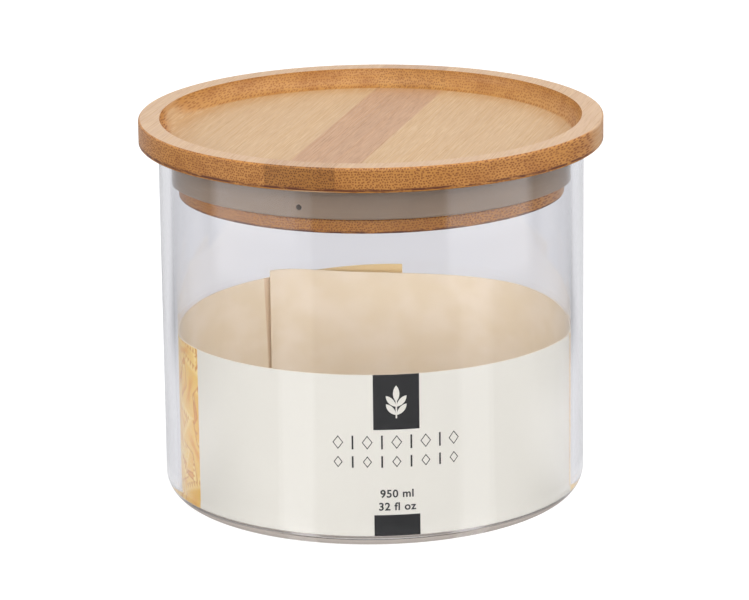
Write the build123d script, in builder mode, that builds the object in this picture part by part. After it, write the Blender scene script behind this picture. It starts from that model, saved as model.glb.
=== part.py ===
from build123d import *
import os
from math import cos, radians, sin

# Lidded glass canister. Millimetres, +Z up, origin at the centre of the base.
# The front of the canister faces -Y; the card's overlap is at the back.

# Jar: a straight-sided glass cylinder with a closed base.
JAR_RADIUS = 59.1
JAR_WALL = 3.3
JAR_HEIGHT = 100.9
BASE_THICKNESS = 3.0
HEEL_RADIUS = 6.0
FLOOR_FILLET = 1.2
RIM_ROUND = 1.2

# Lid: three plies of bamboo strips glued face to face, then turned to one outline.
LID_RADIUS = 64.5
PLY_THICKNESSES = (6.3, 7.0, 7.0)
LID_EDGE_ROUND = 0.6
FLANGE_CHAMFER = 0.15
DISC_THICKNESS = 6.65
DISH_DEPTH = 5.0
DISH_MOUTH_RADIUS = 58.6
DISH_FLOOR_RADIUS = 54.4
NECK_RADIUS = 52.2
LIP_RADIUS = 53.65
LIP_HEIGHT = 3.85

# Strips: the outer plies' grain runs 15 degrees off the Y axis, the core's runs across it.
# Each ply's glue lines lie one strip width apart from the offset given here.
STRIP_WIDTH = 19.55
GRAIN_TURN = -15.0
TOP_GLUE_LINES = (7.2, range(-3, 3))
CORE_GLUE_LINES = (9.8, range(-3, 3))
BOTTOM_GLUE_LINES = (6.0, range(-2, 3))

# Seal: a silicone band round the neck, with a little play above and below.
# Its vent hole lies at an angle from the front, positive towards +X.
SEAL_RADIUS = 55.5
SEAL_BORE_RADIUS = 52.5
SEAL_TOP_GAP = 0.15
SEAL_HEIGHT = 9.25
SEAL_ROUND = 0.6
VENT_RADIUS = 0.75
VENT_ANGLE = -20.0
VENT_DROP = 6.4

# Card: one sheet rolled inside the jar, its inner end lapped over its outer end at the back.
# The lap springs away from the wall in a flatter curve. Angles are counted from the front,
# positive towards +X, and each inset is the lap's distance inside the round part.
CARD_THICKNESS = 0.3
CARD_HEIGHT = 45.2
CARD_BASE = 3.5
CARD_RADIUS = 55.2
CARD_SHIFT = 0.3
CARD_OUTER_END = -189.0
CARD_LAP_START = 122.0
CARD_LAP_MIDDLE = 172.0
CARD_LAP_END = 214.0
CARD_MIDDLE_INSET = 4.0
CARD_END_INSET = 1.3

LID_TOP = JAR_HEIGHT + DISC_THICKNESS
TOP_PLY_BOTTOM = LID_TOP - PLY_THICKNESSES[0]
CORE_BOTTOM = TOP_PLY_BOTTOM - PLY_THICKNESSES[1]
LID_BOTTOM = CORE_BOTTOM - PLY_THICKNESSES[2]
LIP_TOP = LID_BOTTOM + LIP_HEIGHT

os.makedirs("parts", exist_ok=True)


def write_part(name, piece):
    """Label one finished piece and write it as its own STEP file."""
    piece.label = name
    export_step(piece, f"parts/{name}.step")


def write_strips(name, ply, glue_lines, grain_turn):
    """Saw a turned ply along its glue lines and write each strip."""
    first_offset, numbers = glue_lines
    edge = LID_RADIUS + 1
    offsets = [-edge, *(first_offset + STRIP_WIDTH * n for n in numbers), edge]
    grain_plane = Plane.XY.rotated((0, 0, grain_turn))
    for number, (low, high) in enumerate(zip(offsets, offsets[1:]), start=1):
        with BuildPart() as strip:
            add(ply)
            with BuildSketch(grain_plane):
                with Locations(((low + high) / 2, 0)):
                    Rectangle(high - low, 2 * edge)
            extrude(amount=LID_TOP + 1, mode=Mode.INTERSECT)
        write_part(f"{name}_{number}", strip.part)


# Jar: the outline runs out along the base, up the outside and down the bore.
with BuildPart() as glass_body:
    with BuildSketch(Plane.XZ) as jar_section:
        bore_radius = JAR_RADIUS - JAR_WALL
        Polygon(
            (0, 0),
            (JAR_RADIUS, 0),
            (JAR_RADIUS, JAR_HEIGHT),
            (bore_radius, JAR_HEIGHT),
            (bore_radius, BASE_THICKNESS),
            (0, BASE_THICKNESS),
            align=None,
        )
        levels = jar_section.vertices().group_by(Axis.Y)
        heel, floor_corner = levels[0].sort_by(Axis.X)[-1], levels[1].sort_by(Axis.X)[-1]
        fillet(levels[-1], radius=RIM_ROUND)
        fillet(heel, radius=HEEL_RADIUS)
        fillet(floor_corner, radius=FLOOR_FILLET)
    revolve(axis=Axis.Z)
write_part("glass_body", glass_body.part)

# Top ply: a disc whose dish has a level floor and a hollow cove rising to the rim.
with BuildPart() as top_ply:
    with BuildSketch(Plane.XZ) as top_section:
        with BuildLine():
            floor_level = LID_TOP - DISH_DEPTH
            Polyline(
                (0, floor_level),
                (0, TOP_PLY_BOTTOM),
                (LID_RADIUS, TOP_PLY_BOTTOM),
                (LID_RADIUS, LID_TOP),
                (DISH_MOUTH_RADIUS, LID_TOP),
            )
            EllipticalCenterArc(
                (DISH_FLOOR_RADIUS, LID_TOP),
                DISH_MOUTH_RADIUS - DISH_FLOOR_RADIUS,
                DISH_DEPTH,
                start_angle=270,
                arc_size=90,
            )
            Line((DISH_FLOOR_RADIUS, floor_level), (0, floor_level))
        make_face()
        rim_corners = top_section.vertices().group_by(Axis.Y)[-1]
        fillet(rim_corners.sort_by(Axis.X)[-1], radius=LID_EDGE_ROUND)
    revolve(axis=Axis.Z)
write_strips("lid_top_strip", top_ply.part, TOP_GLUE_LINES, GRAIN_TURN)

# Core ply: a thin flange under the top ply, then the neck.
with BuildPart() as core_ply:
    with BuildSketch(Plane.XZ) as core_section:
        Polygon(
            (0, CORE_BOTTOM),
            (NECK_RADIUS, CORE_BOTTOM),
            (NECK_RADIUS, JAR_HEIGHT),
            (LID_RADIUS, JAR_HEIGHT),
            (LID_RADIUS, TOP_PLY_BOTTOM),
            (0, TOP_PLY_BOTTOM),
            align=None,
        )
        flange_corners = core_section.vertices().sort_by(Axis.X)[-2:]
        chamfer(flange_corners.sort_by(Axis.Y)[0], length=FLANGE_CHAMFER)
    revolve(axis=Axis.Z)
write_strips("lid_core_strip", core_ply.part, CORE_GLUE_LINES, GRAIN_TURN + 90)

# Bottom ply: the neck's lower end and the lip that holds the seal on.
with BuildPart() as bottom_ply:
    with BuildSketch(Plane.XZ) as bottom_section:
        Polygon(
            (0, LID_BOTTOM),
            (LIP_RADIUS, LID_BOTTOM),
            (LIP_RADIUS, LIP_TOP),
            (NECK_RADIUS, LIP_TOP),
            (NECK_RADIUS, CORE_BOTTOM),
            (0, CORE_BOTTOM),
            align=None,
        )
        lip_corners = bottom_section.vertices().sort_by(Axis.X)[-2:]
        fillet(lip_corners, radius=LID_EDGE_ROUND)
    revolve(axis=Axis.Z)
write_strips("lid_bottom_strip", bottom_ply.part, BOTTOM_GLUE_LINES, GRAIN_TURN)

# Seal: a plain band with rounded corners and one small vent hole through its wall.
with BuildPart() as seal_ring:
    with BuildSketch(Plane.XZ) as seal_section:
        seal_wall = SEAL_RADIUS - SEAL_BORE_RADIUS
        seal_middle = JAR_HEIGHT - SEAL_TOP_GAP - SEAL_HEIGHT / 2
        with Locations((SEAL_BORE_RADIUS + seal_wall / 2, seal_middle)):
            RectangleRounded(seal_wall, SEAL_HEIGHT, SEAL_ROUND)
    revolve(axis=Axis.Z)
    vent_direction = (sin(radians(VENT_ANGLE)), -cos(radians(VENT_ANGLE)), 0)
    with BuildSketch(Plane(origin=(0, 0, JAR_HEIGHT - VENT_DROP), z_dir=vent_direction)):
        Circle(VENT_RADIUS)
    extrude(amount=SEAL_RADIUS + 1, mode=Mode.SUBTRACT)
write_part("seal_ring", seal_ring.part)


def card_point(angle, radius):
    """A point on the card's plan, at an angle from the front and a distance from its axis."""
    turn = radians(angle)
    return (CARD_SHIFT + radius * sin(turn), -radius * cos(turn))


def card_direction(angle):
    """The direction in which the card runs round the jar at an angle from the front."""
    turn = radians(angle)
    return (cos(turn), sin(turn))


# Card: an arc round most of the jar, then the lap's flatter curve.
with BuildPart() as label_insert:
    with BuildSketch(Plane.XY.offset(CARD_BASE)):
        with BuildLine():
            ends = []
            for face_radius in (CARD_RADIUS, CARD_RADIUS - CARD_THICKNESS):
                round_part = ThreePointArc(
                    card_point(CARD_OUTER_END, face_radius),
                    card_point((CARD_OUTER_END + CARD_LAP_START) / 2, face_radius),
                    card_point(CARD_LAP_START, face_radius),
                )
                lap = Spline(
                    round_part @ 1,
                    card_point(CARD_LAP_MIDDLE, face_radius - CARD_MIDDLE_INSET),
                    card_point(CARD_LAP_END, face_radius - CARD_END_INSET),
                    tangents=(round_part % 1, card_direction(CARD_LAP_END)),
                )
                ends.append((round_part @ 0, lap @ 1))
            for outer_corner, inner_corner in zip(*ends):
                Line(outer_corner, inner_corner)
        make_face()
    extrude(amount=CARD_HEIGHT)
write_part("label_insert", label_insert.part)
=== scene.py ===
"""Studio scene and finishes for a lidded glass canister.

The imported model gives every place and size. This file adds a smooth glass jar and a rolled,
printed card as numpy surfaces, gives each bamboo strip and the seal its finish, and sets up
the camera, the lights and the floor.
"""

import logging
import math
from collections.abc import Mapping
from dataclasses import dataclass
from enum import Enum

import bpy
import numpy as np
from mathutils import Matrix, Vector


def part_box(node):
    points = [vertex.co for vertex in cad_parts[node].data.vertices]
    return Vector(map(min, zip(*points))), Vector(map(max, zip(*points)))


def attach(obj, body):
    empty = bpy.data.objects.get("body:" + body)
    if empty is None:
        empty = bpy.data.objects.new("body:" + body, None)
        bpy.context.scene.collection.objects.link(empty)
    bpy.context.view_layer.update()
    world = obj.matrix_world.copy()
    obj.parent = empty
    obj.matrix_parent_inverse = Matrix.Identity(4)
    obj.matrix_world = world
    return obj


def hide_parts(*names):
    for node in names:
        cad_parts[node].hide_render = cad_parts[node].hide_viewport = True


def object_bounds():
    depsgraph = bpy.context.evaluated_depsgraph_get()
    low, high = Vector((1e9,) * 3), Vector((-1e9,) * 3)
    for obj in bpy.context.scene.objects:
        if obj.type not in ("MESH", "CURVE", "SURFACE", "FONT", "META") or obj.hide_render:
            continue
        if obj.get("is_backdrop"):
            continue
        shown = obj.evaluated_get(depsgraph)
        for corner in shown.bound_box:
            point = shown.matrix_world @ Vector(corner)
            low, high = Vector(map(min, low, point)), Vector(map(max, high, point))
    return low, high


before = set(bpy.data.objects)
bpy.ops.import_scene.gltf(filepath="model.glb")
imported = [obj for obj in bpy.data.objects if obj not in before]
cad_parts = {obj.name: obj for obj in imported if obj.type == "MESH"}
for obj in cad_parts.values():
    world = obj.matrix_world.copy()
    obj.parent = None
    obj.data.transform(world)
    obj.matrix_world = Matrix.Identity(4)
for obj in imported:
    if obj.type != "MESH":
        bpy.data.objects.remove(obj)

LOG = logging.getLogger("canister")
MM = 0.001
SHARP_ANGLE = math.radians(35)

Colour = tuple[float, float, float, float]
UP = (0.0, 0.0, 1.0)


# --------------------------------------------------------------------------- colours and nodes


def linear(code: str) -> Colour:
    """A display colour as the linear values that shaders use.

    A channel p becomes p / 12.92 up to 0.04045, and ((p + 0.055) / 1.055) ^ 2.4 above it.

    Args:
        code: Six hexadecimal digits after a hash sign.

    Returns:
        Red, green, blue and an alpha of one.
    """
    parts = [int(code[i : i + 2], 16) / 255 for i in (1, 3, 5)]
    red, green, blue = (p / 12.92 if p <= 0.04045 else ((p + 0.055) / 1.055) ** 2.4 for p in parts)
    return (red, green, blue, 1.0)


class Signal:
    """A node's output that does arithmetic by adding Math nodes to its tree."""

    def __init__(self, tree: "ShaderTree", socket: bpy.types.NodeSocket) -> None:
        """Wrap one output socket of a tree."""
        self.tree = tree
        self.socket = socket

    def __add__(self, other: "Signal | float") -> "Signal":
        """The sum."""
        return self.tree.math("ADD", self, other)

    def __sub__(self, other: "Signal | float") -> "Signal":
        """The difference."""
        return self.tree.math("SUBTRACT", self, other)

    def __rsub__(self, other: float) -> "Signal":
        """A number less this."""
        return self.tree.math("SUBTRACT", other, self)

    def __mul__(self, other: "Signal | float") -> "Signal":
        """The product."""
        return self.tree.math("MULTIPLY", self, other)

    def __truediv__(self, other: "Signal | float") -> "Signal":
        """The quotient."""
        return self.tree.math("DIVIDE", self, other)

    def __lt__(self, other: "Signal | float") -> "Signal":
        """One where this is the smaller, else zero."""
        return self.tree.math("LESS_THAN", self, other)

    def __gt__(self, other: "Signal | float") -> "Signal":
        """One where this is the larger, else zero."""
        return self.tree.math("GREATER_THAN", self, other)

    def __abs__(self) -> "Signal":
        """The size without its sign."""
        return self.tree.math("ABSOLUTE", self)

    __radd__ = __add__
    __rmul__ = __mul__


class ShaderTree:
    """A material's node tree, built up by method calls."""

    MIX_FACTOR, MIX_A, MIX_B, MIX_RESULT = 0, 6, 7, 2

    def __init__(self, name: str) -> None:
        """Start an empty material of that name."""
        self.material = bpy.data.materials.new(name)
        self.material.use_nodes = True
        self.nodes = self.material.node_tree.nodes
        self.links = self.material.node_tree.links
        self.nodes.clear()

    def node(
        self,
        kind: str,
        settings: Mapping | None = None,
        sockets: Mapping | None = None,
        output: int | str = 0,
    ) -> Signal:
        """Add one node.

        Args:
            kind: The node's type name, without its ShaderNode prefix.
            settings: Properties to set first, such as an operation.
            sockets: Input values or signals, by socket name or number.
            output: The output to return.

        Returns:
            The chosen output.
        """
        made = self.nodes.new("ShaderNode" + kind)
        for key, value in (settings or {}).items():
            setattr(made, key, value)
        for key, value in (sockets or {}).items():
            if isinstance(value, Signal):
                self.links.new(value.socket, made.inputs[key])
            else:
                made.inputs[key].default_value = value
        return Signal(self, made.outputs[output])

    def math(self, operation: str, *values: "Signal | float") -> Signal:
        """A Math node on signals or numbers."""
        return self.node("Math", {"operation": operation}, dict(enumerate(values)))

    def vector(self, operation: str, *values: "Signal | tuple") -> Signal:
        """A Vector Math node's vector result."""
        return self.node("VectorMath", {"operation": operation}, dict(enumerate(values)))

    def dot(self, first: Signal, second: "Signal | tuple") -> Signal:
        """The dot product of two vectors."""
        return self.node("VectorMath", {"operation": "DOT_PRODUCT"}, {0: first, 1: second}, "Value")

    def step(self, value: Signal, low: "Signal | float", high: "Signal | float") -> Signal:
        """A smooth step from 0 at low to 1 at high; it falls where low is above high."""
        return self.node(
            "MapRange",
            {"interpolation_type": "SMOOTHSTEP", "clamp": True},
            {"Value": value, "From Min": low, "From Max": high, "To Min": 0.0, "To Max": 1.0},
        )

    def mix(
        self, factor: "Signal | float", first: "Signal | Colour", second: "Signal | Colour"
    ) -> Signal:
        """A blend of two colours, from the first at a factor of 0 to the second at 1."""
        sockets = {self.MIX_FACTOR: factor, self.MIX_A: first, self.MIX_B: second}
        return self.node("Mix", {"data_type": "RGBA"}, sockets, self.MIX_RESULT)

    def split(self, vector: Signal) -> tuple[Signal, Signal, Signal]:
        """The three parts of a vector."""
        made = self.node("SeparateXYZ", sockets={0: vector}).socket.node
        return tuple(Signal(self, made.outputs[i]) for i in range(3))

    def join(self, x: "Signal | float", y: "Signal | float", z: "Signal | float" = 0.0) -> Signal:
        """A vector from three parts."""
        return self.node("CombineXYZ", sockets={0: x, 1: y, 2: z})

    def noise(self, place: Signal, scale: float, detail: float = 2.0, colour: bool = False) -> Signal:
        """A three-dimensional noise, centred on 0.5."""
        sockets = {"Vector": place, "Scale": scale, "Detail": detail, "Roughness": 0.5}
        return self.node("TexNoise", sockets=sockets, output="Color" if colour else 0)

    def object_place(self, turn: float = 0.0, shift: tuple = (0.0, 0.0, 0.0)) -> Signal:
        """Object coordinates in millimetres.

        Args:
            turn: A turn about Z, in radians.
            shift: What is added after the turn, in millimetres.

        Returns:
            The place as a vector.
        """
        place = self.node("TexCoord", output="Object")
        sockets = {"Vector": place, "Location": shift, "Rotation": (0, 0, turn)}
        return self.node("Mapping", sockets=sockets | {"Scale": (1 / MM,) * 3})

    def sheet_place(self, uv_name: str) -> tuple[Signal, Signal]:
        """Millimetres along and up a flat sheet.

        Args:
            uv_name: The UV map that holds the same in metres.

        Returns:
            The places along and up.
        """
        sheet = self.node("UVMap", {"uv_map": uv_name})
        scaled = self.node("VectorMath", {"operation": "SCALE"}, {0: sheet, "Scale": 1 / MM})
        return self.split(scaled)[:2]

    def finish(self, shader: Signal) -> bpy.types.Material:
        """Link the finished shader to the output.

        Args:
            shader: A shader node's output.

        Returns:
            The material.
        """
        output = self.nodes.new("ShaderNodeOutputMaterial")
        self.links.new(shader.socket, output.inputs["Surface"])
        return self.material

    def principled(self, **sockets: "Signal | float | tuple") -> Signal:
        """A Principled BSDF; underscores in socket names stand for spaces."""
        named = {key.replace("_", " "): value for key, value in sockets.items()}
        return self.node("BsdfPrincipled", sockets=named)

    def bump(self, height: Signal, depth: float) -> Signal:
        """A bump's normal, from a height of 0 to 1 and its depth in millimetres."""
        return self.node("Bump", sockets={"Height": height, "Distance": depth * MM, "Strength": 1.0})


# --------------------------------------------------------------------------- finishes


class Ply(Enum):
    """A ply of the lid: its nodes' name, its grain's turn from the Y axis and its first seed."""

    TOP = ("lid_top_strip_", -15.0, 0)
    CORE = ("lid_core_strip_", 75.0, 20)
    BOTTOM = ("lid_bottom_strip_", -15.0, 40)

    def __init__(self, prefix: str, turn: float, seed: int) -> None:
        """Keep the three values by name."""
        self.prefix = prefix
        self.turn = math.radians(turn)
        self.seed = seed

    @property
    def grain(self) -> tuple[float, float, float]:
        """The grain's direction."""
        return (-math.sin(self.turn), math.cos(self.turn), 0.0)

    def strips(self) -> list[str]:
        """The ply's nodes, in order across the grain."""
        return sorted(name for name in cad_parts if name.startswith(self.prefix))


@dataclass(frozen=True)
class BambooFinish:
    """Sanded and lacquered bamboo, in millimetres across, along and up the strip.

    Fibre bundles run along the grain. They show as dots where the surface cuts across the
    grain and as faint streaks where it runs along it. A strip's lower face is its outer skin,
    where the bundles crowd together and darken.
    """

    flat: str = "#c2a079"
    flat_pale: str = "#d6ba95"
    flat_dark: str = "#a37f57"
    streak_share: float = 0.4
    cut: str = "#b67d3d"
    cut_far: str = "#b48144"
    cut_deep: str = "#935a22"
    bundle: str = "#743c16"
    rim: str = "#c6a68a"
    skin: str = "#5a2c14"
    shift_across: float = 37.0
    shift_along: float = 53.0
    cut_fade: tuple[float, float] = (0.02, 0.16)
    upright_fade: tuple[float, float] = (0.5, 0.1)
    side_shade_share: float = 0.5
    deep_share: float = 0.5
    broad_share: float = 0.3
    pale_share: float = 0.6
    rim_fade: tuple[float, float] = (1.2, 0.2)
    rim_share: float = 0.85
    skin_fade: tuple[float, float] = (0.95, 0.4)
    dish_foot: tuple[float, float] = (46.0, 56.0)
    dish_foot_shade: float = 0.45
    far_half: float = 15.0
    dot_share: float = 0.85
    far_dot_loss: float = 0.35
    bundle_spacing: float = 0.68
    bundle_jitter: float = 0.62
    bundle_edge: tuple[float, float] = (0.43, 0.18)
    wander: float = 1.3
    relief: float = 0.05

    def material(
        self, name: str, ply: Ply, number: int, levels: tuple[float, float]
    ) -> bpy.types.Material:
        """Build the finish for one strip.

        Args:
            name: The material's name.
            ply: The strip's ply, for the grain.
            number: The strip's number, which shifts the pattern.
            levels: The heights of the strip's lower and upper faces, in millimetres.

        Returns:
            The material.
        """
        tree = ShaderTree(name)
        seed = ply.seed + number
        axis = (self.shift_across * seed, self.shift_along * seed)
        place = tree.split(tree.object_place(-ply.turn, (*axis, 0.0)))
        _, along, up = place
        normal = tree.node("TexCoord", output="Normal")
        cut = tree.step(abs(tree.dot(normal, ply.grain)), *self.cut_fade)
        upright = tree.step(abs(tree.dot(normal, UP)), *self.upright_fade)

        broad = self._drawn_out(tree, place, per_mm=0.2, length=90.0)
        hair = self._drawn_out(tree, place, per_mm=4.6, length=7.0)
        streaks = tree.step(hair, 0.5, 0.68) * self.streak_share
        flat_colour = self._sanded(tree, place, axis, levels[1])
        flat_colour = tree.mix(streaks, flat_colour, linear(self.flat_dark))
        flat_colour = tree.mix(broad * self.broad_share, flat_colour, linear(self.flat_dark))

        far_end = tree.step(along, axis[1] - self.far_half, axis[1] + self.far_half)
        cut_ground = tree.mix(far_end, linear(self.cut), linear(self.cut_far))
        deep = tree.step(broad, 0.4, 0.75) * self.deep_share
        cut_ground = tree.mix(deep, cut_ground, linear(self.cut_deep))
        # Upright faces lean towards the darker cut colour: painted shade on the lid's sides.
        flat_colour = tree.mix(upright * self.side_shade_share, flat_colour, cut_ground)
        dots = self._bundles(tree, place, seed)
        dot_share = self.dot_share - self.far_dot_loss * far_end
        cut_colour = tree.mix(dots * dot_share, cut_ground, linear(self.bundle))
        colour = tree.mix(cut, flat_colour, cut_colour)
        skin = self._skin(tree, place, levels[0]) * cut
        relief = 0.5 - dots * cut * 0.4 - streaks * (1 - cut) * 0.4
        shader = tree.principled(
            Base_Color=tree.mix(skin, colour, linear(self.skin)),
            Roughness=0.42 + 0.16 * dots,
            Normal=tree.bump(relief, self.relief),
            Specular_IOR_Level=0.35,
            Coat_Weight=0.06,
            Coat_Roughness=0.35,
        )
        return tree.finish(shader)

    @staticmethod
    def _drawn_out(
        tree: ShaderTree, place: tuple[Signal, ...], per_mm: float, length: float, start: float = 0.0
    ) -> Signal:
        """Noise drawn out along the grain.

        Args:
            tree: The tree to build in.
            place: Millimetres across, along and up.
            per_mm: How many waves lie in a millimetre across and up.
            length: A wave's length along the grain.
            start: An offset that sets one noise apart from another.

        Returns:
            The noise, about 0.5.
        """
        across, along, up = place
        return tree.noise(tree.join(across * per_mm + start, along / length, up * per_mm), 1.0, 3.0)

    def _sanded(
        self, tree: ShaderTree, place: tuple[Signal, ...], axis: tuple[float, float], high: float
    ) -> Signal:
        """The colour where the surface runs along the grain, before its dark streaks.

        Args:
            tree: The tree to build in.
            place: Millimetres across, along and up.
            axis: The lid's axis in the same millimetres, across and along.
            high: The height of the strip's upper face.

        Returns:
            A colour, warmer on the raised rim and darker at the foot of the dish's wall, partly
            from the cut grain where the floor curves up and partly painted shade in that corner.
        """
        across, along, up = place
        on_rim = tree.step(up, high - self.rim_fade[0], high - self.rim_fade[1])
        off_across, off_along = across - axis[0], along - axis[1]
        from_axis = tree.math("SQRT", off_across * off_across + off_along * off_along)
        # Painted shade in the corner at the foot of the dish's wall, mixed with the cut grain there.
        foot = tree.step(from_axis, *self.dish_foot) * (1 - on_rim)
        pale = tree.step(self._drawn_out(tree, place, per_mm=3.1, length=12.0, start=40.0), 0.45, 0.7)
        colour = tree.mix(on_rim * self.rim_share, linear(self.flat), linear(self.rim))
        colour = tree.mix(foot * self.dish_foot_shade, colour, linear(self.cut_far))
        return tree.mix(pale * self.pale_share, colour, linear(self.flat_pale))

    def _skin(self, tree: ShaderTree, place: tuple[Signal, ...], low: float) -> Signal:
        """The patchy outer skin's mask.

        Args:
            tree: The tree to build in.
            place: Millimetres across, along and up.
            low: The height of the strip's lower face.

        Returns:
            One on the skin, fading out above it.
        """
        across, along, up = place
        patches = tree.step(tree.noise(tree.join(across / 5, along / 5, up), 1.0, 4.0), 0.34, 0.54)
        return tree.step(up, low + self.skin_fade[0], low + self.skin_fade[1]) * patches

    def _bundles(self, tree: ShaderTree, place: tuple[Signal, ...], seed: int) -> Signal:
        """The bundles' mask: a dot at every point of a jittered grid across the grain.

        Every other row is moved half a step. The grid bends slowly along the strip, and some
        patches of dots are fainter.

        Args:
            tree: The tree to build in.
            place: Millimetres across, along and up.
            seed: The strip's own number.

        Returns:
            One in the middle of a dot.
        """
        across, along, up = place
        drift = tree.noise(tree.join(across / 22, along / 60, up / 22 + seed), 1.0, 1.0, True)
        drift_x, drift_z, _ = tree.split(drift)
        bundle_x = (across + drift_x * self.wander) / self.bundle_spacing
        bundle_z = (up + drift_z * self.wander) / self.bundle_spacing
        row = tree.math("FLOOR", bundle_z + 0.3)
        staggered = bundle_x + tree.math("MODULO", row, 2.0) * 0.5
        distance = tree.node(
            "TexVoronoi",
            {"voronoi_dimensions": "2D", "feature": "F1"},
            {
                "Vector": tree.join(staggered, bundle_z),
                "Scale": 1.0,
                "Randomness": self.bundle_jitter,
            },
            "Distance",
        )
        patch = tree.noise(tree.join(across / 6, along / 30, up / 4), 1.0, 2.0)
        return tree.step(distance, *self.bundle_edge) * tree.step(patch, -0.1, 0.5)


@dataclass(frozen=True)
class GlassFinish:
    """Clear soda-lime glass with a trace of waviness and handling haze.

    Lamps shine straight through it, each surface letting most of their light pass.
    """

    tint: str = "#fbfbfd"
    ior: float = 1.5
    haze_roughness: float = 0.02
    waviness: float = 0.04
    lets_through: float = 0.95

    def material(self) -> bpy.types.Material:
        """Build the finish.

        Returns:
            The material.
        """
        tree = ShaderTree("clear_glass")
        x, y, z = tree.split(tree.object_place())
        haze = tree.step(tree.noise(tree.join(x / 30, y / 30, z / 18), 1.0, 3.0), 0.5, 0.8)
        waves = tree.noise(tree.join(x / 26, y / 26, z / 60), 1.0, 1.0)
        shader = tree.principled(
            Base_Color=linear(self.tint),
            Roughness=haze * self.haze_roughness,
            IOR=self.ior,
            Transmission_Weight=1.0,
            Normal=tree.bump(waves, self.waviness),
        )
        lamp_ray = tree.node("LightPath", output="Is Shadow Ray")
        colour = (self.lets_through,) * 3 + (1.0,)
        open_way = tree.node("BsdfTransparent", sockets={"Color": colour})
        return tree.finish(tree.node("MixShader", sockets={0: lamp_ray, 1: shader, 2: open_way}))


@dataclass(frozen=True)
class SiliconeFinish:
    """Frosted, slightly translucent silicone with faint rub marks round it."""

    body: str = "#937f6c"
    # The colour that the random clouds and the painted shade under the lid lean towards.
    shade: str = "#786553"
    rub: str = "#c9c2ba"
    glow_through: tuple[float, float, float] = (1.0, 0.85, 0.7)
    glow_depth: float = 2.0
    rub_depth: float = 0.02

    def material(self) -> bpy.types.Material:
        """Build the finish.

        Returns:
            The material.
        """
        tree = ShaderTree("frosted_silicone")
        x, y, z = tree.split(tree.object_place())
        low, high = (corner[2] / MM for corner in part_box("seal_ring"))
        cloud = tree.noise(tree.join(x / 16, y / 16, z / 5), 1.0, 3.0)
        rubs = tree.step(tree.noise(tree.join(x / 9, y / 9, z * 3), 1.0, 4.0), 0.6, 0.75)
        # Darker towards the upper edge: painted shade under the lid, mixed with the random cloudy
        # tone.
        upper = tree.step(z, low + 1.0, high)
        colour = tree.mix(cloud * 0.6 + upper * 0.4, linear(self.body), linear(self.shade))
        shader = tree.principled(
            Base_Color=tree.mix(rubs * 0.12, colour, linear(self.rub)),
            Roughness=0.26 + 0.16 * cloud,
            Subsurface_Weight=0.2,
            Subsurface_Radius=self.glow_through,
            Subsurface_Scale=self.glow_depth * MM,
            Normal=tree.bump(rubs, self.rub_depth),
        )
        return tree.finish(shader)


@dataclass(frozen=True)
class InkFinish:
    """Dry black printing ink with a faint grain."""

    dark: str = "#222223"
    worn: str = "#2c2c2e"

    def material(self) -> bpy.types.Material:
        """Build the finish.

        Returns:
            The material.
        """
        tree = ShaderTree("printing_ink")
        x, _, z = tree.split(tree.object_place())
        grain = tree.noise(tree.join(x * 3, z * 3), 1.0, 2.0)
        colour = tree.mix(grain, linear(self.dark), linear(self.worn))
        return tree.finish(tree.principled(Base_Color=colour, Roughness=0.5 + grain * 0.1))


class PrintMaths:
    """Shapes drawn in a card's own millimetres, from signals for across and up."""

    STROKE_HALF, LINE_HALF, LOZENGE_SLOPE = 0.24, 0.2, 1.35

    def __init__(self, tree: ShaderTree, across: Signal, up: Signal) -> None:
        """Keep the tree and the two coordinates."""
        self.tree = tree
        self.across = across
        self.up = up

    def block(self, x: float, y: float, width: float, height: float) -> Signal:
        """A filled rectangle about a centre."""
        return (abs(self.across - x) < width / 2) * (abs(self.up - y) < height / 2)

    def leaf(self, x: float, y: float, length: float, width: float, turn: float) -> Signal:
        """A pointed leaf: the overlap of two equal circles, centred at a place and turned.

        Args:
            x: The leaf's centre across.
            y: Its centre up.
            length: Tip to tip.
            width: Its greatest width.
            turn: The turn of its long axis from upright, in radians.

        Returns:
            One inside the leaf.
        """
        radius = (length**2 + width**2) / (4 * width)
        offset = radius - width / 2
        cos, sin = math.cos(turn), math.sin(turn)
        side = (self.across - x) * cos + (self.up - y) * sin
        rise = (self.up - y) * cos - (self.across - x) * sin
        reach = self.tree.math("POWER", abs(side) + offset, 2.0) + rise * rise
        return reach < radius**2

    def motif_row(self, x: float, y: float, count: int, pitch: float, height: float) -> Signal:
        """A row of upright strokes and open lozenges, turn about.

        Args:
            x: The row's centre across.
            y: Its centre up.
            count: How many marks it has.
            pitch: From one mark to the next.
            height: The marks' height.

        Returns:
            One on the marks.
        """
        run = (self.across - x) / pitch + count / 2
        inside = (run > 0.0) * (run < float(count))
        cell = self.tree.math("FLOOR", run)
        odd = self.tree.math("MODULO", cell, 2.0)
        local = (run - cell - 0.5) * pitch
        rise = self.up - y
        half = height / 2
        stroke = (abs(local) < self.STROKE_HALF) * (abs(rise) < half)
        edge = abs(abs(local) * self.LOZENGE_SLOPE + abs(rise) - (half - self.LINE_HALF))
        lozenge = edge < self.LINE_HALF
        return inside * (stroke * odd + lozenge * (1 - odd))


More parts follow.
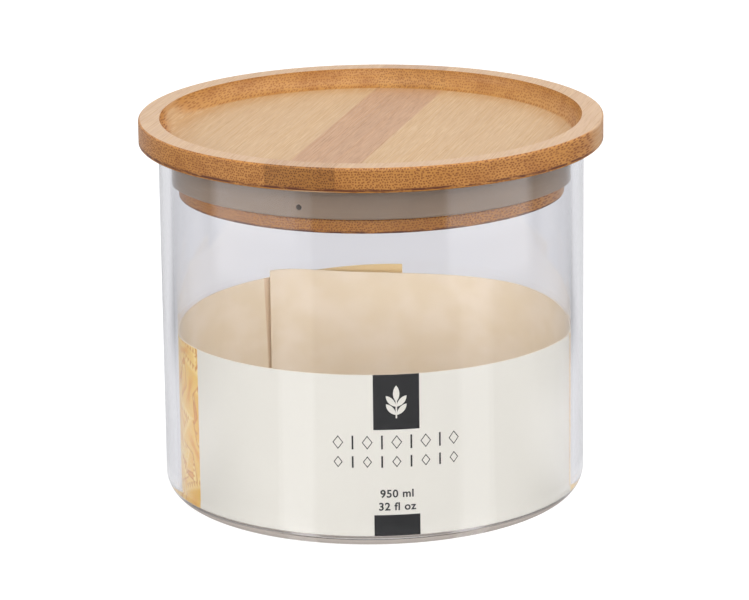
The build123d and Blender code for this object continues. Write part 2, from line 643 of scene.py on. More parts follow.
@dataclass(frozen=True)
class CardFinish:
    """Uncoated printed card: a plain front panel and a picture of bow-tie pasta round the rest.

    Places are in the flat sheet's millimetres, from the front's foot. The blocks give their
    centre and height, the first counted down from the upper edge and the second up from the
    lower one. The rows give how far they lie below the upper edge, and their marks' height.
    The stem gives its rise, width and height, the tip leaf its rise, length and width, and the
    side leaf its distance from the stem, length and width.
    """

    paper: str = "#e0ddd3"
    fibre: str = "#d0ccc1"
    ink: str = "#161617"
    inner: str = "#fbf0de"
    inner_shade: str = "#f5e8d0"
    inner_fibre: str = "#e2cfae"
    outer_end: str = "#fbe3a8"
    outer_end_fade: tuple[float, float] = (-150.0, -164.0)
    # A painted shadow of the lap's edge on the layer behind it.
    lap_shadow: str = "#cfa67a"
    lap_shadow_edge: float = -140.2
    lap_shadow_lean: float = 0.045
    lap_shadow_fade: tuple[float, float] = (-141.4, -140.8)
    panel_start: float = -56.7
    panel_end: float = 68.3
    panel_centre: float = 5.5
    block_width: float = 12.3
    head_block: tuple[float, float] = (7.6, 15.8)
    foot_block: tuple[float, float] = (2.65, 5.9)
    sprig_drop: float = 12.0
    stem: tuple[float, float, float] = (2.2, 0.4, 5.0)
    tip_leaf: tuple[float, float, float] = (6.6, 4.6, 1.7)
    side_leaf: tuple[float, float, float] = (1.45, 4.0, 1.5)
    side_lean: float = 0.7
    side_rises: tuple[float, float] = (2.2, 4.5)
    rows: tuple[tuple[float, float], ...] = ((19.0, 3.9), (24.5, 3.3))
    mark_count: int = 9
    mark_pitch: float = 3.9
    fibre_depth: float = 0.01

    def printed(self, height: float) -> bpy.types.Material:
        """Build the printed face's finish.

        Args:
            height: The card's height in millimetres.

        Returns:
            The material.
        """
        tree = ShaderTree("printed_card")
        across, up = tree.sheet_place(Card.UV_NAME)
        fibres = self._fibres(tree, across, up)
        paper = tree.mix(fibres * 0.25, linear(self.paper), linear(self.fibre))
        ink = self._panel_marks(PrintMaths(tree, across, up), height)
        panel = (across > self.panel_start) * (across < self.panel_end)
        picture = PastaPicture().colour(tree, across, up)
        shader = tree.principled(
            Base_Color=tree.mix(panel, picture, tree.mix(ink, paper, linear(self.ink))),
            Roughness=0.62 - 0.12 * ink,
            Normal=tree.bump(fibres, self.fibre_depth),
            Specular_IOR_Level=0.3,
        )
        return tree.finish(shader)

    def plain(self) -> bpy.types.Material:
        """Build the inner face's finish, where the picture shows faintly through the card.

        Returns:
            The material.
        """
        tree = ShaderTree("card_inner")
        across, up = tree.sheet_place(Card.UV_NAME)
        show_through = tree.step(tree.noise(tree.join(across / 11, up / 9), 1.0, 2.0), 0.3, 0.7)
        fibres = self._fibres(tree, across, up)
        colour = tree.mix(show_through, linear(self.inner), linear(self.inner_shade))
        outer_end = tree.step(across, *self.outer_end_fade)
        colour = tree.mix(outer_end * 0.8, colour, linear(self.outer_end))
        # Painted shadow of the lap's edge: a narrow band beside it, wider towards the top.
        lap_shadow_edge = self.lap_shadow_edge + up * self.lap_shadow_lean
        lap_shadow = tree.step(across, lap_shadow_edge + 0.25, lap_shadow_edge - 0.25)
        lap_shadow = lap_shadow * tree.step(across, *self.lap_shadow_fade)
        colour = tree.mix(lap_shadow * 0.5, colour, linear(self.lap_shadow))
        shader = tree.principled(
            Base_Color=tree.mix(fibres * 0.15, colour, linear(self.inner_fibre)),
            Roughness=0.75,
            Normal=tree.bump(fibres, self.fibre_depth),
            Specular_IOR_Level=0.25,
        )
        return tree.finish(shader)

    @staticmethod
    def _fibres(tree: ShaderTree, across: Signal, up: Signal) -> Signal:
        """The paper's fine fibres."""
        return tree.noise(tree.join(across * 1.6, up * 1.6), 1.0, 3.0)

    def _panel_marks(self, marks: PrintMaths, height: float) -> Signal:
        """The panel's dark print: two blocks, a sprig left bare in one, and two rows of marks.

        Args:
            marks: The shapes to draw with.
            height: The card's height in millimetres.

        Returns:
            One on the ink.
        """
        centre = self.panel_centre
        drop, tall = self.head_block
        head = marks.block(centre, height - drop, self.block_width, tall)
        foot = marks.block(centre, self.foot_block[0], self.block_width, self.foot_block[1])
        ink = head * (1 - self._sprig(marks, height - self.sprig_drop)) + foot
        for below, mark in self.rows:
            ink = ink + marks.motif_row(centre, height - below, self.mark_count, self.mark_pitch, mark)
        return marks.tree.math("MINIMUM", ink, 1.0)

    def _sprig(self, marks: PrintMaths, base: float) -> Signal:
        """A stem with a leaf at its tip and two pairs of leaves beside it.

        Args:
            marks: The shapes to draw with.
            base: The height of the sprig's foot.

        Returns:
            One on the sprig.
        """
        centre = self.panel_centre
        stem_rise, *stem_size = self.stem
        tip_rise, *tip_size = self.tip_leaf
        off_stem, *leaf_size = self.side_leaf
        sprig = marks.leaf(centre, base + tip_rise, *tip_size, 0.0)
        parts = [marks.block(centre, base + stem_rise, *stem_size)]
        for side in (-1, 1):
            x, turn = centre + side * off_stem, -side * self.side_lean
            parts += [marks.leaf(x, base + rise, *leaf_size, turn) for rise in self.side_rises]
        for part in parts:
            sprig = marks.tree.math("MAXIMUM", sprig, part)
        return sprig


@dataclass(frozen=True)
class PastaPicture:
    """A printed heap of bow-tie pasta: layers of bow ties, each in its own cell and turn.

    Sizes are in millimetres. A piece's half width is the pinch plus the flare times the reach.
    """

    ground_dark: str = "#cf8c3e"
    ground_pale: str = "#e8ab50"
    dark: str = "#e6b653"
    pale: str = "#efd182"
    ripple: str = "#f0b64a"
    fold: str = "#dd9438"
    rim: str = "#fff0b0"
    shadow: str = "#c98235"
    layers: int = 5
    cell: float = 17.0
    jitter: float = 0.5
    layer_shift: tuple[float, float] = (13.7, 7.3)
    half_length: float = 8.2
    pinch: float = 1.9
    flare: float = 0.52
    tooth: float = 0.8
    tooth_depth: float = 2.4
    tooth_root: float = 1.0
    shadow_width: tuple[float, float] = (0.6, 0.7)
    shadow_share: float = 0.7
    fold_side: tuple[float, float] = (0.55, 0.1)
    fold_reach: tuple[float, float] = (6.5, 1.5)
    fold_share: float = 0.7
    ripple_rate: float = 1.5
    ripple_share: float = 0.2
    rim_fade: tuple[float, float] = (2.2, 0.8)
    rim_share: float = 0.4

    def colour(self, tree: ShaderTree, across: Signal, up: Signal) -> Signal:
        """The picture's colour.

        Args:
            tree: The tree to build in.
            across: Millimetres along the card.
            up: Millimetres up the card.

        Returns:
            A colour signal.
        """
        warm = tree.noise(tree.join(across / 6, up / 6), 1.0, 2.0)
        picture = tree.mix(warm, linear(self.ground_dark), linear(self.ground_pale))
        for layer in range(self.layers):
            picture = self._layer(tree, across, up, layer, picture)
        return picture

    def _layer(
        self, tree: ShaderTree, across: Signal, up: Signal, layer: int, under: Signal
    ) -> Signal:
        """Lay one layer of bow ties over what is under it.

        Each piece is centred on its Voronoi cell and turned at random. Its half width grows
        from the pinch to the ends, and its ends are cut in a zigzag.

        Args:
            tree: The tree to build in.
            across: Millimetres along the card.
            up: Millimetres up the card.
            layer: The layer's number, which shifts its cells.
            under: The colour so far.

        Returns:
            The colour with this layer on it.
        """
        shift_across, shift_up = (shift * layer for shift in self.layer_shift)
        place = tree.join(across / self.cell + shift_across, up / self.cell + shift_up)
        sockets = {"Vector": place, "Scale": 1.0, "Randomness": self.jitter}
        cells = {"voronoi_dimensions": "2D", "feature": "F1"}
        centre = tree.node("TexVoronoi", cells, sockets, "Position")
        shade = tree.split(tree.node("TexVoronoi", cells, sockets, "Color"))
        local = tree.vector("SUBTRACT", place, centre)
        spin = {"Vector": local, "Angle": shade[0] * math.tau}
        x, y, _ = tree.split(tree.node("VectorRotate", {"rotation_type": "Z_AXIS"}, spin))
        reach = abs(x) * self.cell
        side = abs(y) * self.cell
        half_width = self.pinch + reach * self.flare
        teeth = tree.math("PINGPONG", y * self.cell, self.tooth) * self.tooth_depth
        inside = (side < half_width) * (reach < self.half_length - self.tooth_root + teeth)
        beside, beyond = self.shadow_width
        shadow = (side < half_width + beside) * (reach < self.half_length + beyond)
        fold = tree.step(side / half_width, *self.fold_side) * tree.step(reach, *self.fold_reach)
        ripple = tree.math("SINE", side * self.ripple_rate + shade[1] * 6.0) * 0.5 + 0.5
        rim_start, rim_full = (self.half_length - inset for inset in self.rim_fade)
        rim = tree.step(reach, rim_start, rim_full)
        tone = tree.mix(shade[2], linear(self.dark), linear(self.pale))
        tone = tree.mix(ripple * self.ripple_share, tone, linear(self.ripple))
        tone = tree.mix(fold * self.fold_share, tone, linear(self.fold))
        tone = tree.mix(rim * self.rim_share, tone, linear(self.rim))
        shaded = tree.mix(shadow * self.shadow_share, under, linear(self.shadow))
        return tree.mix(inside, shaded, tone)


# --------------------------------------------------------------------------- meshes


def ease(value: np.ndarray) -> np.ndarray:
    """The smooth step 3t^2 - 2t^3, with t held between 0 and 1."""
    t = np.clip(value, 0.0, 1.0)
    return t * t * (3 - 2 * t)


def arc(
    centre: tuple[float, float], radius: float, start: float, end: float, steps: int
) -> np.ndarray:
    """Points on a circle's arc: (x + r cos a, z + r sin a) for equal steps of the angle a.

    Args:
        centre: The circle's centre.
        radius: Its radius.
        start: The first angle in degrees, from +x towards +z.
        end: The last angle.
        steps: How many equal steps lie between them.

    Returns:
        An array of steps + 1 points.
    """
    turn = np.radians(np.linspace(start, end, steps + 1))
    return np.stack([centre[0] + radius * np.cos(turn), centre[1] + radius * np.sin(turn)], axis=1)


def make_object(name: str, points: np.ndarray, faces: np.ndarray) -> bpy.types.Object:
    """Make a smooth-shaded mesh object at the origin.

    Args:
        name: The piece's name.
        points: An (n, 3) array in metres.
        faces: An (m, 4) array of corners; a triangle repeats its last corner.

    Returns:
        The object, in the scene's collection.
    """
    corners = [tuple(dict.fromkeys(face)) for face in faces.tolist()]
    mesh = bpy.data.meshes.new(name)
    mesh.from_pydata(points.tolist(), [], corners)
    mesh.shade_smooth()
    mesh.set_sharp_from_angle(angle=SHARP_ANGLE)
    return link_new(name, mesh)


def link_new(name: str, data: bpy.types.ID) -> bpy.types.Object:
    """Put a new object at the origin of the scene.

    Args:
        name: Its name.
        data: The mesh, lamp or camera that it holds.

    Returns:
        The object.
    """
    made = bpy.data.objects.new(name, data)
    bpy.context.scene.collection.objects.link(made)
    return made


def cover(node: bpy.types.Object, material: bpy.types.Material) -> bpy.types.Object:
    """Put a material in every slot of a node that the frame brought.

    Args:
        node: The node.
        material: Its finish.

    Returns:
        The node.
    """
    for slot in node.material_slots:
        slot.material = material
    return node


def lathe(profile: np.ndarray, segments: int) -> tuple[np.ndarray, np.ndarray]:
    """Turn a profile about Z: the point (r, z) at turn a is (r cos a, r sin a, z).

    Args:
        profile: An (n, 2) array of radius and height whose two ends lie on the axis.
        segments: How many steps make the full turn.

    Returns:
        Points and quad faces; the two poles are single points.
    """
    turn = np.linspace(0.0, math.tau, segments, endpoint=False)
    radius, height = profile[1:-1, 0, None], profile[1:-1, 1, None]
    rings = np.stack(
        [radius * np.cos(turn), radius * np.sin(turn), np.repeat(height, segments, axis=1)], axis=2
    )
    poles = np.array([[0.0, 0.0, profile[0, 1]], [0.0, 0.0, profile[-1, 1]]])
    points = np.concatenate([rings.reshape(-1, 3), poles])
    index = np.arange(rings.shape[0] * segments).reshape(-1, segments)
    beside = np.roll(index, -1, axis=1)
    walls = np.stack([index[:-1], beside[:-1], beside[1:], index[1:]], axis=2).reshape(-1, 4)
    first, last = len(points) - 2, len(points) - 1
    ones = np.ones(segments, dtype=int)
    start = np.stack([ones * first, beside[0], index[0], index[0]], axis=1)
    end = np.stack([ones * last, index[-1], beside[-1], beside[-1]], axis=1)
    return points, np.concatenate([walls, start, end])


def sheet_shell(outer: np.ndarray, inner: np.ndarray) -> tuple[np.ndarray, np.ndarray, np.ndarray]:
    """Close two matching grids into a thin shell, with a strip of faces along each of four edges.

    Args:
        outer: An (n, m, 3) grid whose faces look outwards.
        inner: The grid behind it.

    Returns:
        Points, quad faces and each face's side: 0 for the outer face, 1 for the rest.
    """
    columns, rows = outer.shape[:2]
    front = np.arange(columns * rows).reshape(columns, rows)
    back = front + columns * rows

    def quads(a: np.ndarray, b: np.ndarray, c: np.ndarray, d: np.ndarray) -> np.ndarray:
        """Faces from four matching corner arrays."""
        return np.stack([a, b, c, d], axis=-1).reshape(-1, 4)

    face = quads(front[:-1, :-1], front[1:, :-1], front[1:, 1:], front[:-1, 1:])
    behind = quads(back[:-1, :-1], back[:-1, 1:], back[1:, 1:], back[1:, :-1])
    foot = quads(front[:-1, 0], back[:-1, 0], back[1:, 0], front[1:, 0])
    top = quads(front[:-1, -1], front[1:, -1], back[1:, -1], back[:-1, -1])
    near = quads(front[0, :-1], front[0, 1:], back[0, 1:], back[0, :-1])
    far = quads(front[-1, :-1], back[-1, :-1], back[-1, 1:], front[-1, 1:])
    faces = np.concatenate([face, behind, foot, top, near, far])
    side = np.ones(len(faces), dtype=int)
    side[: len(face)] = 0
    return np.concatenate([outer.reshape(-1, 3), inner.reshape(-1, 3)]), faces, side


# --------------------------------------------------------------------------- sub-assemblies


@dataclass(frozen=True)
class Jar:
    """The glass jar, a turned piece. Sizes in millimetres."""

    radius: float = 59.1
    wall: float = 3.3
    base: float = 3.0
    heel: float = 6.0
    floor_fillet: float = 1.2
    rim_round: float = 1.2
    rim_gap: float = 0.03
    hold: float = 0.4
    segments: int = 288

    def build(self) -> bpy.types.Object:
        """Make the jar, dress it and put it on its body.

        Returns:
            The jar.
        """
        points, faces = lathe(self.profile(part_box("glass_body")[1][2] / MM) * MM, self.segments)
        jar = make_object("jar_glass_wall", points, faces)
        jar.data.materials.append(GlassFinish().material())
        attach(jar, "jar")
        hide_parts("glass_body")
        return jar

    def profile(self, height: float) -> np.ndarray:
        """The half section, from the base's centre round the outside to the floor's centre.

        Straight runs meet the arcs with a short extra step, which keeps their shading flat.

        Args:
            height: The jar's height in millimetres.

        Returns:
            An (n, 2) array of radius and height.
        """
        top = height - self.rim_gap
        bore = self.radius - self.wall
        hold = self.hold
        heel_centre = (self.radius - self.heel, self.heel)
        fillet_centre = (bore - self.floor_fillet, self.base + self.floor_fillet)
        return np.concatenate(
            [
                [(0, 0), (heel_centre[0] / 2, 0), (heel_centre[0] - hold, 0)],
                arc(heel_centre, self.heel, -90, 0, 20),
                [(self.radius, self.heel + hold), (self.radius, top - self.rim_round - hold)],
                arc((self.radius - self.rim_round, top - self.rim_round), self.rim_round, 0, 90, 10),
                arc((bore + self.rim_round, top - self.rim_round), self.rim_round, 90, 180, 10),
                [(bore, top - self.rim_round - hold), (bore, fillet_centre[1] + hold)],
                arc(fillet_centre, self.floor_fillet, 0, -90, 10),
                [(fillet_centre[0] - hold, self.base), (bore / 2, self.base), (0, self.base)],
            ]
        )


@dataclass(frozen=True)
class Card:
    """The printed card rolled inside the jar, lapped at the back. Sizes in millimetres.

    Angles run from the front towards +X, in degrees, about an axis shifted that way a little.
    The lap springs away from the wall, and both ends twist upwards.
    """

    UV_NAME = "sheet"

    thickness: float = 0.3
    height: float = 45.2
    radius: float = 55.2
    shift: float = 0.3
    outer_end: float = -189.0
    lap_start: float = 122.0
    lap_middle: float = 172.0
    lap_end: float = 214.7
    middle_inset: float = 6.0
    end_inset: float = 0.8
    outer_lift: float = 1.1
    outer_lift_start: float = -150.0
    lap_lift: float = 2.2
    lap_lift_start: float = 176.0
    columns: int = 404
    rows: int = 25

    def build(self) -> bpy.types.Object:
        """Make the card, dress both faces and put it on its body.

        Returns:
            The card.
        """
        angle = np.linspace(self.outer_end, self.lap_end, self.columns)[:, None]
        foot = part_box("label_insert")[0][2] / MM
        rise = np.linspace(0.0, self.height, self.rows)[None, :]
        outer = self.place(angle, rise, foot, 0.0)
        inner = self.place(angle, rise, foot, self.thickness)
        points, faces, side = sheet_shell(outer * MM, inner * MM)
        card = make_object("printed_card", points, faces)
        finish = CardFinish()
        card.data.materials.append(finish.printed(self.height))
        card.data.materials.append(finish.plain())
        card.data.polygons.foreach_set("material_index", side.astype(np.int32))
        self._lay_out(card.data, angle, rise)
        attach(card, "insert")
        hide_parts("label_insert")
        return card

    def inset(self, angle: np.ndarray) -> np.ndarray:
        """How far inside the round part the lap runs: up to its middle, then part of the way back.

        Args:
            angle: The turn from the front in degrees.

        Returns:
            Millimetres towards the axis.
        """
        going = ease((angle - self.lap_start) / (self.lap_middle - self.lap_start))
        coming = ease((angle - self.lap_middle) / (self.lap_end - self.lap_middle))
        return self.middle_inset * going - (self.middle_inset - self.end_inset) * coming

    def lift(self, angle: np.ndarray) -> np.ndarray:
        """How far the two ends rise, easing in towards each end.

        Args:
            angle: The turn from the front in degrees.

        Returns:
            Millimetres upwards.
        """
        start = self.outer_lift_start
        outer = self.outer_lift * ease((start - angle) / (start - self.outer_end))
        start = self.lap_lift_start
        lap = self.lap_lift * ease((angle - start) / (self.lap_end - start)) ** 2
        return outer + lap

    def place(self, angle: np.ndarray, rise: np.ndarray, foot: float, depth: float) -> np.ndarray:
        """Points on a face of the card: (r sin a, -r cos a, z) at each turn a and height z.

        Args:
            angle: The turn from the front, as a column.
            rise: The height up the card, as a row.
            foot: The height of the card's lower edge.
            depth: How far inside the printed face.

        Returns:
            An (n, m, 3) grid.
        """
        radius = self.radius - depth - self.inset(angle)
        turn = np.radians(angle)
        level = np.ones_like(rise)
        x = (self.shift + radius * np.sin(turn)) * level
        y = -radius * np.cos(turn) * level
        z = foot + self.lift(angle) + rise
        return np.stack([x, y, z], axis=2)

    def _lay_out(self, mesh: bpy.types.Mesh, angle: np.ndarray, rise: np.ndarray) -> None:
        """Give every corner its place on the flat sheet, in metres from the front's foot.

        Along the sheet, the place is the radius times the turn.

        Args:
            mesh: The card's mesh, whose outer face's points come before the inner face's.
            angle: The turns of its columns, in degrees.
            rise: The heights of its rows, in millimetres.
        """
        along = np.radians(angle) * self.radius * np.ones_like(rise)
        flat = np.stack([along, np.ones_like(angle) * rise], axis=2).reshape(-1, 2) * MM
        both = np.concatenate([flat, flat])
        corner = np.empty(len(mesh.loops), dtype=np.int32)
        mesh.loops.foreach_get("vertex_index", corner)
        layer = mesh.uv_layers.new(name=self.UV_NAME)
        layer.data.foreach_set("uv", both[corner].ravel())


@dataclass(frozen=True)
class CapacityPrint:
    """The jar's capacity, printed on the card's front panel as a thin film of ink.

    Sizes are in millimetres. A line gives its text and its height above the card's lower edge.
    """

    lines: tuple[tuple[str, float], ...] = (("950 ml", 10.6), ("32 fl oz", 6.95))
    letter_size: float = 3.05
    letter_weight: float = 0.075
    letter_space: float = 1.08
    film: float = 0.02
    centre: float = 5.5

    def build(self, card: Card) -> bpy.types.Object:
        """Set the lines flat, bend them round the card and put them on its body.

        Args:
            card: The card that carries the print.

        Returns:
            The print.
        """
        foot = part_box("label_insert")[0][2] / MM
        pieces = [self._bend(self._set_line(text), rise, foot, card) for text, rise in self.lines]
        print_film = pieces[0]
        with bpy.context.temp_override(active_object=print_film, selected_editable_objects=pieces):
            bpy.ops.object.join()
        print_film.name = "capacity_print"
        print_film.data.materials.clear()
        print_film.data.materials.append(InkFinish().material())
        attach(print_film, "insert")
        return print_film

    def _set_line(self, text: str) -> bpy.types.Mesh:
        """Set one line of lettering flat.

        Args:
            text: The line.

        Returns:
            A mesh in millimetres, centred across.
        """
        curve = bpy.data.curves.new("line", "FONT")
        curve.body = text
        curve.size = self.letter_size
        curve.align_x = "CENTER"
        curve.extrude = self.film
        curve.offset = self.letter_weight
        curve.space_character = self.letter_space
        flat = bpy.data.objects.new("line", curve)
        mesh = bpy.data.meshes.new_from_object(flat)
        bpy.data.objects.remove(flat)
        return mesh

    def _bend(self, mesh: bpy.types.Mesh, rise: float, foot: float, card: Card) -> bpy.types.Object:
        """Bend a flat line round the card: across becomes a turn and depth becomes radius.

        Args:
            mesh: The flat line in millimetres.
            rise: The height of its foot above the card's lower edge.
            foot: The height of that edge.
            card: The card that carries it.

        Returns:
            The bent line.
        """
        flat = np.empty(len(mesh.vertices) * 3)
        mesh.vertices.foreach_get("co", flat)
        across, up, out = flat.reshape(-1, 3).T
        turn = (self.centre + across) / card.radius
        radius = card.radius + out
        x = card.shift + radius * np.sin(turn)
        bent = np.stack([x, -radius * np.cos(turn), foot + rise + up], axis=1)
        mesh.vertices.foreach_set("co", (bent * MM).ravel())
        mesh.update()
        return link_new("line", mesh)


@dataclass(frozen=True)
class Lid:
    """The lid's three plies of bamboo strips, whose shapes come from the frame.

    One top strip is darker than its neighbours. The two lower plies have one cut colour all round.
    """

    dark_strip: int = 4
    pale_finish: BambooFinish = BambooFinish()
    dark_finish: BambooFinish = BambooFinish(
        flat="#b78f6f", flat_pale="#cda783", flat_dark="#936e50", streak_share=0.6,
        cut="#9e692f", cut_deep="#8b5623", bundle="#5c2f0f", rim="#bf9f82",
    )
    lower_finish: BambooFinish = BambooFinish(cut="#af752f", cut_far="#af752f", cut_deep="#985f26")

    def dress(self) -> list[bpy.types.Object]:
        """Give each strip its own bamboo finish.

        Returns:
            The strips.
        """
        dressed = []
        for ply in Ply:
            for number, node in enumerate(ply.strips(), start=1):
                low, high = (corner[2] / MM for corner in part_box(node))
                finish = self._finish(ply, number)
                material = finish.material(f"bamboo_{node}", ply, number, (low, high))
                dressed.append(cover(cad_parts[node], material))
        return dressed

    def _finish(self, ply: Ply, number: int) -> BambooFinish:
        """Choose a strip's finish.

        Args:
            ply: Its ply.
            number: Its number across the ply.

        Returns:
            The finish.
        """
        if ply is not Ply.TOP:
            return self.lower_finish
        return self.dark_finish if number == self.dark_strip else self.pale_finish


@dataclass(frozen=True)
class Seal:
    """The silicone band, whose shape comes from the frame."""

    node: str = "seal_ring"

    def dress(self) -> bpy.types.Object:
        """Give the band its finish."""
        return cover(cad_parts[self.node], SiliconeFinish().material())


# --------------------------------------------------------------------------- studio


@dataclass(frozen=True)
class SoftBox:
    """A rectangular lamp aimed at the canister. Lengths in metres, angles in degrees.

    The azimuth is counted from the front towards +X, and the distance from the aim.
    """

    name: str
    azimuth: float
    elevation: float
    distance: float
    width: float
    height: float
    watts: float

    def build(self, aim: Vector) -> bpy.types.Object:
        """Place the lamp on a sphere round the aim and turn it to face it.

        Args:
            aim: The point that it lights.

        Returns:
            The lamp.
        """
        lamp = bpy.data.lights.new(self.name, "AREA")
        lamp.shape = "RECTANGLE"
        lamp.size = self.width
        lamp.size_y = self.height
        lamp.energy = self.watts
        made = link_new(self.name, lamp)
        turn, lean = math.radians(self.azimuth), math.radians(self.elevation)
        flat = math.cos(lean)
        away = Vector((math.sin(turn) * flat, -math.cos(turn) * flat, math.sin(lean)))
        made.location = aim + away * self.distance
        made.rotation_euler = away.to_track_quat("Z", "Y").to_euler()
        return made


@dataclass(frozen=True)
class FloorFinish:
    """A plain white floor that glows a little, so that it stays plain under the object.

    What the glass mirrors and bends is the same floor with painted pools of light and painted
    shade, a painted shadow under the jar among it. The levels are linear. A turn gives degrees
    from the front and a reach millimetres from the axis, each from where its area fades in to
    where it is full. A sector gives its side, and its middle and half width in degrees about the
    focus, which is a place off the axis and towards the front.
    """

    seen_base: float = 0.3
    seen_glow: float = 0.8
    mirrored_base: float = 0.05
    front: float = 0.08
    behind: float = 0.70
    beside: float = 0.26
    close_by: float = 0.70
    near: float = 0.6
    far: float = 0.75
    farther: float = 1.1
    # A painted shadow under the jar.
    under: Colour = (0.46, 0.41, 0.37, 1.0)
    behind_turn: tuple[float, float] = (100.0, 130.0)
    beside_turns: tuple[float, float, float, float] = (88.0, 104.0, 126.0, 138.0)
    beside_reach: tuple[float, float] = (120.0, 240.0)
    close_by_turn: tuple[float, float] = (62.0, 88.0)
    close_by_reach: tuple[float, float] = (210.0, 120.0)
    focus: tuple[float, float] = (5.0, 36.5)
    sectors: tuple[tuple[int, float, float], ...] = ((-1, 42.9, 10.1), (1, 57.7, 9.5))
    far_middle: float = 68.0
    far_half: tuple[float, float] = (29.0, 23.0)
    far_reach: tuple[float, float] = (290.0, 330.0)
    farther_reach: tuple[float, float] = (360.0, 390.0)
    under_shadow_reach: tuple[float, float] = (62.0, 48.0)

    def material(self) -> bpy.types.Material:
        """Build the finish.

        Returns:
            The material.
        """
        tree = ShaderTree("studio_floor")
        seen = tree.principled(
            Base_Color=(self.seen_base,) * 3 + (1.0,),
            Roughness=0.9,
            Emission_Color=linear("#ffffff"),
            Emission_Strength=self.seen_glow,
        )
        # What the glass shows: the floor with painted pools of light and painted shade.
        mirrored = tree.principled(
            Base_Color=(self.mirrored_base,) * 3 + (1.0,),
            Roughness=0.9,
            Emission_Color=self._painted_glow(tree),
            Emission_Strength=1.0,
        )
        direct = tree.node("LightPath", output="Is Camera Ray")
        return tree.finish(tree.node("MixShader", sockets={0: direct, 1: mirrored, 2: seen}))

    def _painted_glow(self, tree: ShaderTree) -> Signal:
        """The floor's glow as the glass shows it: bright behind, dim beside and in front.

        The round glass mirrors the floor in front of it as upright bands. Two long painted pools
        of light there, each a sector about the wall's line of focus, show as two straight bands,
        and wider painted pools further out show above them. A warm painted shadow lies under the jar.

        Args:
            tree: The tree to build in.

        Returns:
            A colour signal.
        """
        x, y, _ = tree.split(tree.object_place())
        turn = abs(self._from_front(tree, x, y))
        reach = tree.math("SQRT", x * x + y * y)
        # Painted light behind the jar, and painted shade beside it and in front.
        behind = tree.step(turn, *self.behind_turn)
        glow = tree.mix(behind, self._grey(self.front), self._grey(self.behind))
        start, full, fading, end = self.beside_turns
        beside = tree.step(turn, start, full) * tree.step(turn, end, fading)
        beside = beside * tree.step(reach, *self.beside_reach)
        glow = tree.mix(beside, glow, self._grey(self.beside))
        close_by = tree.step(reach, *self.close_by_reach) * tree.step(turn, *self.close_by_turn)
        glow = tree.mix(close_by, glow, self._grey(self.close_by))
        # Painted pools of light, which the glass shows as bright bands.
        for side, middle, half in self.sectors:
            off_x, off_y = x * side - self.focus[0], y + self.focus[1]
            away = self._from_front(tree, off_x, off_y)
            pool = tree.step(abs(away - middle), half + 1.0, half - 1.0)
            glow = tree.mix(pool, glow, self._grey(self.near))
            far = tree.step(abs(away - self.far_middle), *self.far_half)
            far_pool = far * tree.step(reach, *self.far_reach)
            glow = tree.mix(far_pool, glow, self._grey(self.far))
            farther_pool = far * tree.step(reach, *self.farther_reach)
            glow = tree.mix(farther_pool, glow, self._grey(self.farther))
        # A warm painted shadow under the jar, near the axis.
        return tree.mix(tree.step(reach, *self.under_shadow_reach), glow, self.under)

    @staticmethod
    def _from_front(tree: ShaderTree, x: Signal, y: Signal) -> Signal:
        """The angle of a direction from the front towards +X, in degrees."""
        return tree.math("ARCTAN2", x, 0 - y) * math.degrees(1.0)

    @staticmethod
    def _grey(level: float) -> Colour:
        """A cool grey of that linear level."""
        return (level * 0.99, level * 0.99, level * 1.02, 1.0)


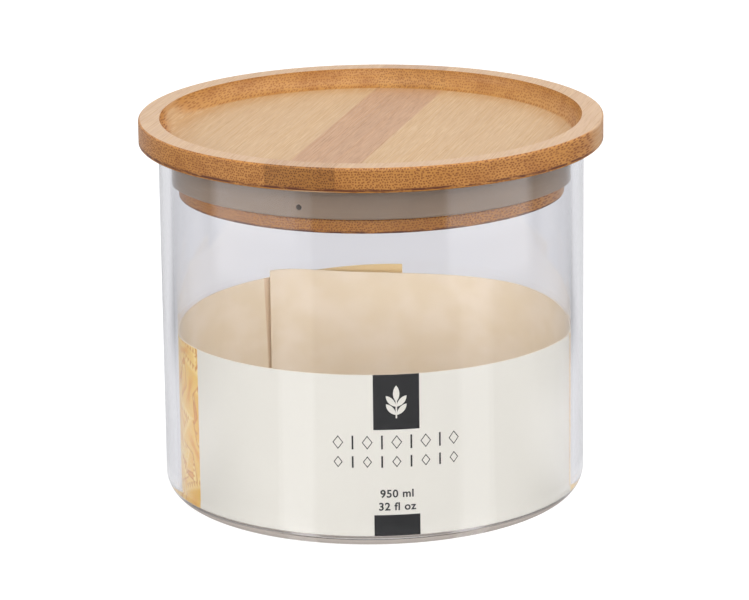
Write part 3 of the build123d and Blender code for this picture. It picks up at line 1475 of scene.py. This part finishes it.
@dataclass(frozen=True)
class Studio:
    """The camera, floor, surroundings and lamps. Lengths in metres, angles in degrees."""

    distance: float = 1.1073
    elevation: float = 12.94
    pitch: float = 15.62
    roll: float = -0.7125
    yaw: float = -0.023
    lens: float = 191.65
    sensor: float = 36.0
    floor_size: float = 8.0
    floor_rise: float = 0.02 * MM
    surroundings: float = 0.75
    # name, azimuth, elevation, distance, width, height, watts
    lamps: tuple[SoftBox, ...] = (
        SoftBox("lamp_above", 10.0, 72.0, 1.6, 1.6, 1.2, 12.5),
        SoftBox("lamp_front", 4.0, 14.0, 1.6, 0.9, 0.6, 7.5),
        SoftBox("lamp_left", -68.0, 15.0, 1.5, 0.8, 0.7, 5.0),
        SoftBox("lamp_right", 72.0, 15.0, 1.5, 0.8, 0.7, 4.2),
        SoftBox("lamp_high_right", 80.0, 45.0, 1.6, 0.8, 0.6, 3.5),
    )

    def build(self) -> None:
        """Set everything up, with the floor a hair above the jar's foot so that the two meet."""
        low, high = (Vector(corner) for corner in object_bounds())
        self._camera(high.z)
        self._floor(low.z + self.floor_rise)
        self._world()
        aim = Vector((0.0, 0.0, high.z / 2))
        for box in self.lamps:
            box.build(aim)

    def _camera(self, lid_top: float) -> None:
        """Place the camera on an arc above the front, leant down and rolled a little.

        Args:
            lid_top: The height that its elevation is counted from, in metres.
        """
        data = bpy.data.cameras.new("camera")
        data.lens = self.lens
        data.sensor_width = self.sensor
        camera = link_new("camera", data)
        rise = math.radians(self.elevation)
        place = (0.0, -self.distance * math.cos(rise), lid_top + self.distance * math.sin(rise))
        turn = Matrix.Rotation(math.radians(self.yaw), 4, "Z")
        turn = turn @ Matrix.Rotation(math.radians(90 - self.pitch), 4, "X")
        turn = turn @ Matrix.Rotation(math.radians(self.roll), 4, "Z")
        camera.matrix_world = Matrix.Translation(Vector(place)) @ turn
        bpy.context.scene.camera = camera

    def _floor(self, level: float) -> None:
        """Lay the floor.

        Args:
            level: Its height in metres.
        """
        half = self.floor_size / 2
        corners = np.array([(-half, -half), (half, -half), (half, half), (-half, half)])
        points = np.column_stack([corners, np.full(4, level)])
        floor = make_object("floor", points, np.array([[0, 1, 2, 3]]))
        floor.data.materials.append(FloorFinish().material())
        floor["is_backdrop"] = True

    def _world(self) -> None:
        """Set even pale surroundings and a plain rendering of colours."""
        world = bpy.data.worlds.new("surroundings")
        world.use_nodes = True
        background = world.node_tree.nodes["Background"]
        background.inputs["Color"].default_value = (1.0, 1.0, 1.0, 1.0)
        background.inputs["Strength"].default_value = self.surroundings
        bpy.context.scene.world = world
        bpy.context.scene.view_settings.view_transform = "Standard"


def main() -> None:
    """Build every sub-assembly in turn and report each piece."""
    logging.basicConfig(level=logging.INFO, format="%(name)s: %(message)s")
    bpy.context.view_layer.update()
    card = Card()
    pieces = [Jar().build(), card.build(), CapacityPrint().build(card)]
    pieces += [Seal().dress(), *Lid().dress()]
    for piece in pieces:
        LOG.info("%s: %d faces", piece.name, len(piece.data.polygons))
    Studio().build()


if __name__ == "__main__":
    main()
